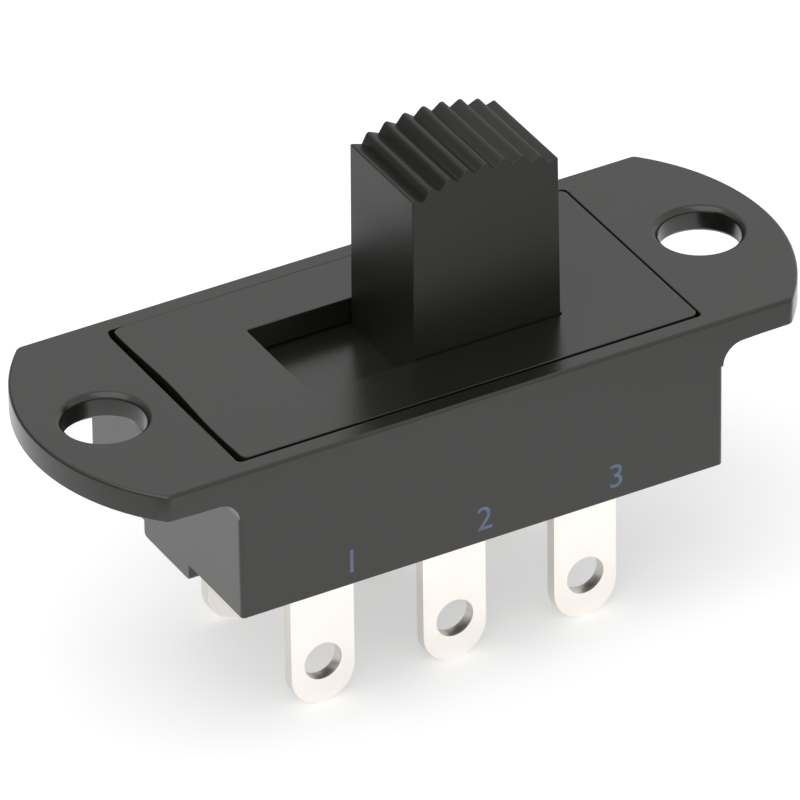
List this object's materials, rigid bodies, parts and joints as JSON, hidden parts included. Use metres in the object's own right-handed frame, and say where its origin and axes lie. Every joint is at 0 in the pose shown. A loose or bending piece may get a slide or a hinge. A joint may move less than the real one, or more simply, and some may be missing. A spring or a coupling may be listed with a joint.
{
  "type": "slide switch",
  "caption": "Panel-mount slide switch: a black moulded body with screw ears, a serrated knob sliding in a slotted cover, and solder lugs below.",
  "frame": {"origin": "middle of the ears' top face, halfway between the two mounting holes", "axes": "+X along the body towards the end that the knob is at, +Y towards the rear row of lugs, +Z out of the panel along the knob"},
  "size_m": [0.0352, 0.0132, 0.0231],
  "materials": {
    "moulded_nylon": "fine-textured black nylon moulding",
    "plated_lug": "bright plate over a copper alloy strip",
    "contact_silver": "silver contact metal",
    "spring_steel": "bright drawn wire and polished balls",
    "potting_resin": "poured epoxy"
  },
  "bodies": {
    "housing": {"housing": "moulded_nylon", "cover_plate": "moulded_nylon", "terminal_front_left": "plated_lug", "terminal_front_centre": "plated_lug", "terminal_front_right": "plated_lug", "terminal_rear_left": "plated_lug", "terminal_rear_centre": "plated_lug", "terminal_rear_right": "plated_lug", "rivet_front_left": "contact_silver", "rivet_front_centre": "contact_silver", "rivet_front_right": "contact_silver", "rivet_rear_left": "contact_silver", "rivet_rear_centre": "contact_silver", "rivet_rear_right": "contact_silver", "potting_front": "potting_resin", "potting_rear": "potting_resin"},
    "actuator": {"actuator": "moulded_nylon", "contact_bridge_front": "contact_silver", "contact_bridge_rear": "contact_silver", "bridge_spring_front": "spring_steel", "bridge_spring_rear": "spring_steel", "detent_ball_front": "spring_steel", "detent_ball_rear": "spring_steel", "detent_spring": "spring_steel"}
  },
  "joints": [
    {"name": "actuator_slide", "type": "slide", "parent": "housing", "child": "actuator", "axis": [1, 0, 0], "range_m": [-0.00485, 0]}
  ]
}
